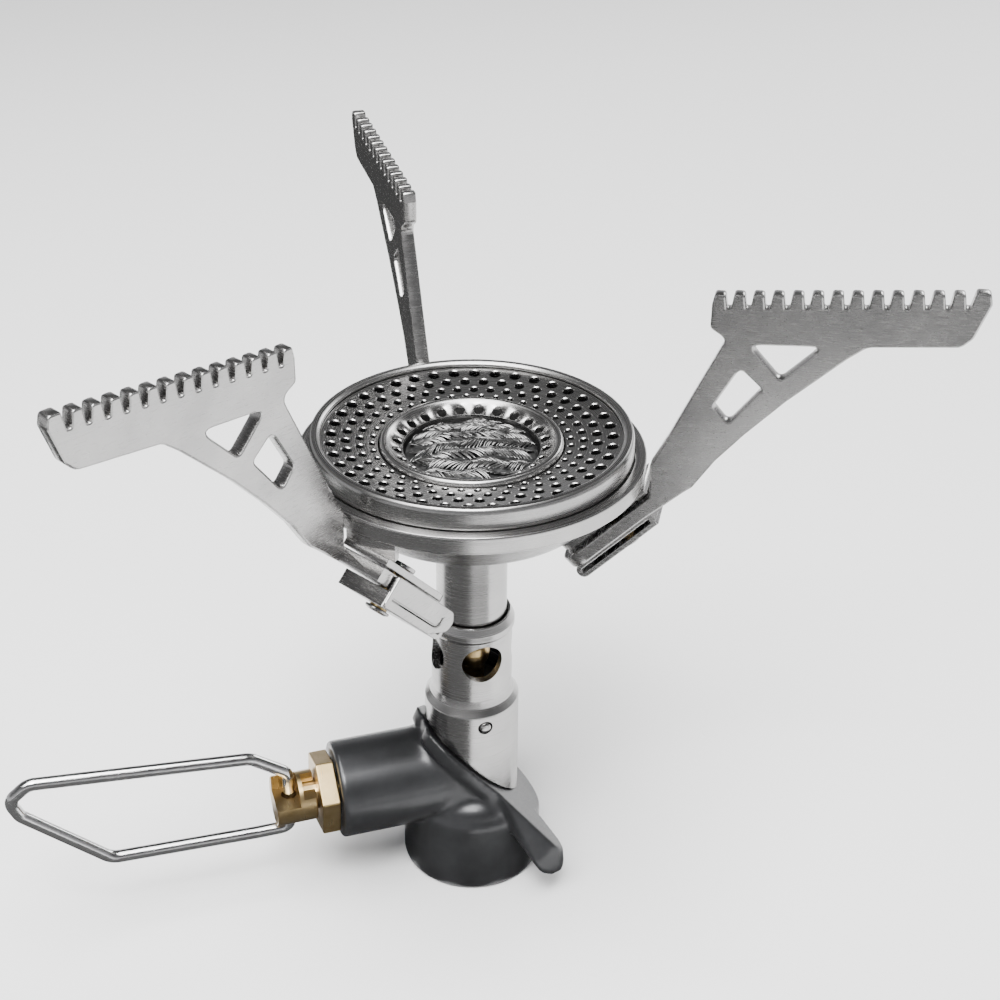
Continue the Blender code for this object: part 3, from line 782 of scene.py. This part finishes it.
def clip_web():
    """Side wall of the spring clip: a long tongue with a rounded nose, and the U-shaped slit in it."""
    p, low, high = HINGE_P, LEAF_Q[0], CLIP_Q[1] - 0.1
    rim = rounded([(p + 6.9, low), (p + 6.9, high), (p - 7.2, high), (p - 11.2, high - 1.9),
                   (p - 11.6, high - 3.8), (p - 10.2, low)], [0.4, 0.6, 3.0, 1.6, 1.3, 1.2], 5)
    nose, middle = p - 7.0, high - 3.0
    slit = [(p + 5.6, middle + 1.55), (nose, middle + 1.55)] + arc((nose, middle), 1.55, 90, 200, 8)
    slit += list(reversed(arc((nose, middle), 1.2, 90, 200, 8))) + [(p + 5.6, middle + 1.2)]
    return rim, slit


def edgewise(turn):
    """Stands a plate drawn in p and q on its edge, with its thickness along t."""
    return turn @ HINGE @ Matrix.Rotation(math.radians(90), 4, "X") @ Matrix.Scale(-1, 4, (0, 0, 1))


def arms():
    window = rounded([(44.0, 109.8), (49.2, 104.2), (55.3, 110.6)], 0.9, 4)
    lower = rounded([(43.0, 105.7), (39.3, 98.7), (41.8, 95.8), (46.7, 102.4)], 0.9, 4)
    outline = arm_outline()
    hole = arc((HINGE_P, HINGE_T), RIVET_HOLE_R, 0, 345, 23)
    for number, azimuth in enumerate(AZIMUTHS, 1):
        body = f"arm_{number}"
        turn = arm_turn(azimuth)
        support = plate([outline, window, lower], -ARM_HALF, ARM_HALF, edge=0.32, cuts=2)
        support.transform(UPRIGHT)
        made = new_object(f"pot_support_{number}_look", support, SHEET, turn, 40)
        foot = slab_outline(HINGE_P - 10.8, HINGE_P + 10, -ARM_HALF, 10.0, 4.4)
        leaf = plate([foot, hole], *LEAF_Q, edge=0.3)
        leaf.transform(turn @ HINGE)
        join(made, leaf)
        stands_for(made, body, "satin_steel", f"pot_support_{number}")

        inner, outer = CLIP_Q
        middle, radius, nose, end = (inner + outer) / 2, (outer - inner) / 2, HINGE_P - 9.4, HINGE_P + 7
        curl = [(end, outer)] + arc((nose, middle), radius, 90, 270, 14) + [(end, inner)]
        slot = [(end - 0.9, outer - 0.9)] + arc((nose, middle), radius - 0.9, 90, 270, 12)
        slot += [(end - 0.9, inner + 0.9)]
        clip = plate([curl, slot], 1.0, 10.9, edge=0.15)
        clip.transform(edgewise(turn))
        made = new_object(f"spring_clip_{number}_look", clip, SHEET)
        stands_for(made, body, "satin_steel", f"spring_clip_{number}")
        rim, slit = clip_web()
        web = plate([rim, slit], 10.25, 11.15, edge=0.25)
        web.transform(edgewise(turn))
        made = new_object(f"clip_side_{number}", web, SHEET)
        stands_for(made, body, "satin_steel", f"spring_clip_{number}")
        rivet(number, turn)


def rivet(number, turn):
    """Brass shaft through the hinge, with a steel-coloured head on each side."""
    low, high = STRAP_Q[0], CLIP_Q[1]
    shaft = lathe([(0, low - 1.0), (2.3, low - 1.0), (2.3, low - 0.3), (1.5, low - 0.3), (1.5, high + 0.3),
                   (2.1, high + 0.3), (2.1, high + 0.7), (1.5, high + 1.0), (0, high + 1.0)], 0.15, 32)
    shaft.transform(turn @ HINGE @ Matrix.Translation((HINGE_P, HINGE_T, 0)))
    made = new_object(f"pivot_rivet_{number}_look", shaft, BRASS_Z)
    middle = turn @ HINGE @ Vector((HINGE_P, HINGE_T, (low + high) / 2))
    along = (turn @ HINGE).to_3x3() @ Vector((0, 0, 1))
    made.data.materials.append(TURNED)
    for face in made.data.polygons:
        if abs((face.center / MM - middle).dot(along)) > (high - low) / 2 + 0.2:
            face.material_index = 1
    stands_for(made, "stove_body", "brass", f"pivot_rivet_{number}")


# ---- column ---------------------------------------------------------------------------------------
def column():
    tube = lathe([(6.2, 51.3), (6.2, 77.6), (5.4, 77.6), (5.4, 51.3)], 0.15, 96)
    stands_for(new_object("mixing_tube_look", tube, TURNED), "stove_body", "satin_steel", "mixing_tube")
    profile = [(6.9, 54.0), (7.6, 52.5), (7.6, 51.5), (7.2, 50.8), (7.2, 38.6), (7.6, 37.2), (8.5, 35.9),
               (8.5, 8.0), (7.2, 8.0), (7.2, 35.8), (5.8, 37.2), (5.8, 51.0), (6.5, 51.0), (6.5, 54.0)]
    sizes = [0.2, 0.3, 0.3, 0.4, 0.6, 0.6, 0.5, 0, 0, 0.4, 0.4, 0.2, 0.2, 0.2]
    bm = turned(rounded(profile, sizes, 3), 96, math.radians(1.9))
    for corner in bm.verts:
        if corner.co.z < 10:
            corner.co.z = SLANT_Z + 0.5 - corner.co.x
    sleeve = new_object("air_sleeve_look", bm, TURNED)
    cut(sleeve, rod((-10, 0, AIR_HOLE_Z), (10, 0, AIR_HOLE_Z), AIR_HOLE_R, 48))
    cut(sleeve, rod((0, -10, AIR_HOLE_Z), (0, 10, AIR_HOLE_Z), AIR_HOLE_R, 48))
    cut(sleeve, rod((0, -10, PIN_Z), (0, 10, PIN_Z), 1.35, 24))
    stands_for(sleeve, "stove_body", "satin_steel", "air_sleeve")
    for side, name in ((-1, "retaining_pin_1"), (1, "retaining_pin_2")):
        pin = lathe([(0, 5.0), (1.1, 5.0), (1.1, 8.25), (0.98, 8.55), (0.7, 8.78), (0.36, 8.89), (0, 8.9)],
                    0.12, 24)
        pin.transform(Matrix.Translation((0, 0, PIN_Z)) @ Matrix.Rotation(math.radians(-90 * side), 4, "X"))
        stands_for(new_object(f"{name}_look", pin, TURNED), "stove_body", "satin_steel", name)
    ball = [(2.3, 33.0), (2.3, 42.2), (2.6, 42.6), (3.05, 43.6), (3.25, 44.6), (3.25, 45.4), (3.0, 46.5),
            (2.5, 47.5), (1.8, 48.1), (0.9, 48.45), (0.6, 48.45), (0.6, 33.0)]
    stands_for(new_object("jet_look", lathe(ball, 0.3, 48), BRASS_Z), "stove_body", "brass", "jet")


# ---- valve ----------------------------------------------------------------------------------------
def hull(points):
    bm = bmesh.new()
    for point in points:
        bm.verts.new(point)
    result = bmesh.ops.convex_hull(bm, input=bm.verts)
    unused = [v for v in result["geom_interior"] if isinstance(v, bmesh.types.BMVert)]
    bmesh.ops.delete(bm, geom=unused, context="VERTS")
    return bm


def wing(side):
    """Finger of the casting that runs down beside the collar."""
    top = [(1.0, 9.4), (3.6, 11.4), (11.0, 17.6), (12.3, 16.6), (12.4, 13.0), (9.0, 4.0)]
    points = [(x, side * y, SLANT_Z - x + 1.5) for x, y in top]
    under = [(2.6, 11.4, 13.6), (3.4, 12.2, 14.2), (6.7, 18.2, 8.8), (7.1, 18.7, 7.2), (8.0, 18.7, 5.9),
             (9.6, 18.6, 5.3), (11.6, 18.0, 5.2), (12.5, 17.2, 5.7), (12.8, 16.0, 6.6), (9.3, 13.2, 7.2),
             (5.0, 6.0, 13.8)]
    return hull(points + [(x, side * y, z) for x, y, z in under])


def cheek(side):
    """Domed shoulder between the housing and the edge of the collar."""
    points = []
    for radius, height in ((12.1, 15.1), (11.9, 16.0), (11.1, 17.1), (9.6, 18.2), (6.5, 19.2)):
        points += [(x, side * y, height) for x, y in arc((0, 0), radius, 40, 150, 14)]
    return hull(points)


def rim_blade(side):
    """Raised rim of the slanted face, which runs on into the finger."""
    top = [(-8.6, 4.6), (-6.4, 7.6), (-3.0, 9.3), (0.4, 10.3), (3.8, 11.5), (8.0, 12.0), (8.0, 2.0),
           (-8.6, 2.0)]
    points = []
    for x, y in top:
        points.append((x, side * y, SLANT_Z - x + 1.5))
        points.append((x - 1.9, side * (y - 0.5), SLANT_Z - x - 1.9))
    return hull(points)


def soften(made, size, passes, firm):
    """Voxel remesh, then smooth the surface. firm(co) says how much each point may move."""
    change = made.modifiers.new("skin", "REMESH")
    change.mode = "VOXEL"
    change.voxel_size = size * MM
    bpy.context.view_layer.update()
    graph = bpy.context.evaluated_depsgraph_get()
    fresh = bpy.data.meshes.new_from_object(made.evaluated_get(graph))
    made.modifiers.clear()
    made.data = fresh
    count = len(fresh.vertices)
    co = np.empty(count * 3)
    fresh.vertices.foreach_get("co", co)
    co = co.reshape(-1, 3)
    pairs = np.empty(len(fresh.edges) * 2, int)
    fresh.edges.foreach_get("vertices", pairs)
    pairs = pairs.reshape(-1, 2)
    degree = np.bincount(pairs.ravel(), minlength=count)[:, None]
    weight = firm(co / MM)[:, None]
    for step in range(passes):
        total = np.zeros_like(co)
        for axis in range(3):
            total[:, axis] = np.bincount(pairs[:, 0], co[pairs[:, 1], axis], count)
            total[:, axis] += np.bincount(pairs[:, 1], co[pairs[:, 0], axis], count)
        mean = total / np.maximum(degree, 1)
        gain = 0.5 if step % 2 == 0 else -0.3
        co = co + gain * weight * (mean - co)
    co = fill_hollows(fresh, co, pairs, degree)
    fresh.vertices.foreach_set("co", co.ravel())
    fresh.update()
    fresh.shade_smooth()
    return made


def fill_hollows(mesh, co, pairs, degree, rounds=4, steps=12):
    """Let the concave creases of the casting flow into wide fillets; rounded edges stay."""
    count = len(co)
    normal = np.empty(count * 3)
    for _ in range(rounds):
        mesh.vertices.foreach_set("co", co.ravel())
        mesh.update()
        mesh.vertices.foreach_get("normal", normal)
        out = normal.reshape(-1, 3)
        x, z, r = co[:, 0] / MM, co[:, 2] / MM, np.hypot(co[:, 0], co[:, 1]) / MM
        slant = (SLANT_Z - x - z) / math.sqrt(2)
        flows = ((z > 15.9) & (r > 8.7) & (x > HOUSING_END_X + 6) & (slant > 0.5)).astype(float)
        for _ in range(steps):
            mean = np.empty_like(co)
            for axis in range(3):
                mean[:, axis] = np.bincount(pairs[:, 0], co[pairs[:, 1], axis], count)
                mean[:, axis] += np.bincount(pairs[:, 1], co[pairs[:, 0], axis], count)
            mean /= np.maximum(degree, 1)
            lift = np.einsum("ij,ij->i", mean - co, out)
            gain = np.where(lift > 0, 0.5, 0.04) * flows
            co = co + (gain * lift)[:, None] * out
    return co


def valve_body():
    collar = [(0, 0), (12.3, 0), (COLLAR_R, 0.5), (COLLAR_R, 13.9), (12.62, 14.5), (12.15, 15.0),
              (11.2, 15.25), (9.8, 15.4), (8.4, 17.6), (0, 18.4)]
    body = new_object("valve_body_look", turned(collar, 128), CAST)
    tube = turned([(0, HOUSING_END_X), (HOUSING_R - 0.35, HOUSING_END_X), (HOUSING_R, HOUSING_END_X + 0.35),
                   (HOUSING_R, 5.0), (0, 5.0)], 112)
    tube.transform(ALONG_X)
    join(body, tube)
    join(body, turned([(0, 8), (9.2, 8), (9.2, 40), (0, 40)], 96))
    for side in (-1, 1):
        join(body, wing(side))
        join(body, cheek(side))
        join(body, rim_blade(side))
    keep_out = prism([(-60, 0), (60, 0), (60, 60), (-60, 60)], -40, 40)
    turn = Matrix.Rotation(math.radians(45), 4, "Y") @ Matrix.Rotation(math.radians(90), 4, "X")
    keep_out.transform(Matrix.Translation((0, 0, SLANT_Z)) @ turn)
    cut(body, keep_out)
    join(body, turned([(0, 6), (6.9, 6), (6.9, 35.4), (5.4, 35.9), (5.4, 38.6), (0, 38.6)], 64))
    cut(body, turned([(0, -1), (7.5, -1), (7.5, 9.6), (5.6, 9.6), (5.6, 14.4), (0, 14.4)], 64))
    bore = turned([(0, -28), (4.8, -28), (4.8, -13.5), (0, -13.5)], 48)
    bore.transform(ALONG_X)
    cut(body, bore)

    def firm(co):
        """Near 0 where the casting stays crisp, as at its machined faces, and 1 where it flows."""
        x, y, z = co[:, 0], co[:, 1], co[:, 2]
        r = np.hypot(x, y)
        weight = np.ones(len(co))
        weight[(x < HOUSING_END_X + 1.2)] = 0.12
        weight[z < 1.2] = 0.15
        slant = (SLANT_Z - x - z) / math.sqrt(2)
        weight[(np.abs(slant) < 0.7) & (z > 7)] *= 0.35
        weight[(r < 8.0)] = 0.1
        return weight

    soften(body, size=0.34, passes=44, firm=firm)
    stands_for(body, "stove_body", "dark_cast_alloy", "valve_body")


def valve_train():
    corner = NUT_FLATS / 2 / math.cos(math.radians(30))
    face = HOUSING_END_X - GAP
    outer = NUT_END_X + NUT_SETBACK
    hexagon = rounded(arc((0, 0), corner, 10, 310, 5), 0.35, 3)
    nut = plate([hexagon], outer, face, edge=0.28, cuts=2)
    nut.transform(ALONG_X)
    made = new_object("gland_nut_look", nut, BRASS_X)
    bore = turned([(0, outer - 1), (2.9, outer - 1), (2.9, face + 1), (0, face + 1)], 48)
    bore.transform(ALONG_X)
    cut(made, bore)
    stands_for(made, "stove_body", "brass", "gland_nut")

    inner = outer - 0.35
    profile = [(0, KNOB_END_X), (KNOB_R, KNOB_END_X), (KNOB_R, inner), (0, inner)]
    body = new_object("spindle_knob_look", lathe(profile, 0.3, 64), BRASS_X, ALONG_X)
    pocket = prism([(-37.6, -6.0), (-33.0, -6.0), (-33.0, 1.9), (-37.6, 1.9)], VALVE_Z + 1.0, VALVE_Z + 8)
    cut(body, pocket)
    step = prism([(-32.3, -6.0), (-29.0, -6.0), (-29.0, 0.6), (-32.3, 0.6)], VALVE_Z + 2.2, VALVE_Z + 8)
    cut(body, step)
    cut(body, rod((HANDLE_X, 0, VALVE_Z - 8), (HANDLE_X, 0, VALVE_Z + 8), 1.4, 24))
    stands_for(body, "spindle_body", "brass", "spindle_knob")


def handle():
    corners = [(HANDLE_X, 0, VALVE_Z + 1.8), (HANDLE_X, 0, 25.2), (-40.9, 0, 29.8), (-78.7, 0, 33.2),
               (-82.2, 0, 30.4), (-80.7, 0, 26.9), (-66.6, 0, 13.8), (-40.8, 0, 12.9),
               (HANDLE_X, 0, 12.9), (HANDLE_X, 0, VALVE_Z - 1.8)]
    path = rounded(corners, [0, 2.2, 3.4, 3.0, 2.2, 3.2, 4.0, 3.4, 2.2, 0], 8, closed=False)
    made = new_object("handle_wire_look", swept(path, WIRE_R, 24), WIRE, angle=60)
    stands_for(made, "handle", "polished_wire", "handle_wire")


# ---- room -----------------------------------------------------------------------------------------
def room():
    """Pale floor, a sky that is bright at the horizon, soft lamps and dark cards."""
    bm = bmesh.new()
    bmesh.ops.create_grid(bm, x_segments=1, y_segments=1, size=4.0)
    mesh = bpy.data.meshes.new("floor")
    bm.to_mesh(mesh)
    bm.free()
    floor = bpy.data.objects.new("floor", mesh)
    bpy.context.collection.objects.link(floor)
    pale = Nodes("floor_look", Roughness=0.9)
    pale.shader.inputs["Specular IOR Level"].default_value = 0.1
    pale.shader.inputs["Base Color"].default_value = (0.93, 0.93, 0.93, 1)
    mesh.materials.append(pale.material)

    world = bpy.data.worlds.new("room")
    bpy.context.scene.world = world
    world.use_nodes = True
    tree = world.node_tree
    parts = tree.nodes.new("ShaderNodeSeparateXYZ")
    tree.links.new(tree.nodes.new("ShaderNodeTexCoord").outputs["Generated"], parts.inputs[0])
    sky = tree.nodes.new("ShaderNodeValToRGB")
    stops = ((0.0, 0.95), (0.16, 0.75), (0.34, 0.26), (0.55, 0.08), (1.0, 0.10))
    for i, (height, value) in enumerate(stops):
        stop = sky.color_ramp.elements[i] if i < 2 else sky.color_ramp.elements.new(height)
        stop.position = height
        stop.color = (value, value, value * 1.02, 1)
    tree.links.new(parts.outputs[2], sky.inputs[0])
    tree.links.new(sky.outputs[0], tree.nodes["Background"].inputs["Color"])
    tree.nodes["Background"].inputs["Strength"].default_value = 0.9

    lamp("overhead", (-0.1, -0.12, 1.1), (0.8, 0.8), 28.0, (0, 0, 0))
    lamp("key", (-0.5, -0.3, 0.7), (0.3, 0.3), 3.5)
    lamp("front_top", (-0.2, -0.5, 0.9), (0.35, 0.35), 10.0)
    lamp("back_right", (0.75, 0.55, 0.45), (0.35, 0.3), 3.0)

    card("front_left_card", 0.05, (-108, -132, -157, -182, -206), 0.025, 0.7)
    card("front_card", 0.09, (-84, -101, -118), 0.2, 0.7)
    card("tube_card", 0.05, (-52, -80, -108), 0.075, 0.122)
    card("collar_card", 0.05, (-5, -45, -85, -125, -165, -206), 0.0135, 0.031)
    card("back_card", 0.02, (150, 127, 104, 80), 0.17, 2.5)


def lamp(name, place, size, power, target=(0, 0, 0.06)):
    light = bpy.data.lights.new(name, "AREA")
    light.shape = "RECTANGLE"
    light.size, light.size_y = size
    light.energy = power
    made = bpy.data.objects.new(name, light)
    made.location = place
    made.rotation_euler = (Vector(target) - Vector(place)).to_track_quat("-Z", "Y").to_euler()
    bpy.context.collection.objects.link(made)


def card(name, tone, azimuths, near, far):
    """Dark studio card on the floor. It is hidden from the camera and casts no shadow: only
    reflections in the polished parts show it."""
    mesh = bpy.data.meshes.new(name)
    angles = [math.radians(a) for a in azimuths]
    corners = [(math.cos(a) * near, math.sin(a) * near, 0.0006) for a in reversed(angles)]
    corners += [(math.cos(a) * far, math.sin(a) * far, 0.0006) for a in angles]
    mesh.from_pydata(corners, [], [tuple(range(len(corners)))])
    dark = Nodes(f"{name}_look", Roughness=0.9)
    dark.shader.inputs["Base Color"].default_value = (tone, tone, tone, 1)
    mesh.materials.append(dark.material)
    flag = bpy.data.objects.new(name, mesh)
    bpy.context.collection.objects.link(flag)
    flag.visible_camera = False
    flag.visible_diffuse = False
    flag.visible_shadow = False
    flag.visible_transmission = False


def camera():
    """Above the front left of the stove, aimed at the burner and shifted to frame the whole of it."""
    data = bpy.data.cameras.new("camera")
    data.lens = 57.14
    data.sensor_width = 36.0
    data.shift_x = 0.0283
    data.shift_y = -0.0727
    data.clip_start = 0.01
    data.clip_end = 20
    made = bpy.data.objects.new("camera", data)
    place = Vector((-0.0673, -0.2229, 0.2120))
    made.location = place
    made.rotation_euler = (Vector((0, 0, RIM_Z * MM)) - place).to_track_quat("-Z", "Y").to_euler()
    bpy.context.collection.objects.link(made)
    bpy.context.scene.camera = made


def dress_frame():
    """Materials for the CAD nodes that stay as they are."""
    looks = {"thread_insert": BRASS_Z, "canister_seal": RUBBER, "inlet_pin": BRASS_Z, "inlet_filter": GAUZE,
             "gland_seal": RUBBER, "spindle_seal": RUBBER, "needle": TURNED, "spindle_stem": BRASS_X}
    for name, look in looks.items():
        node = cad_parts[name]
        for index in range(len(node.material_slots)):
            node.material_slots[index].material = look


burner()
knitted_dome()
support_ring()
arms()
column()
valve_body()
valve_train()
handle()
dress_frame()
room()
camera()
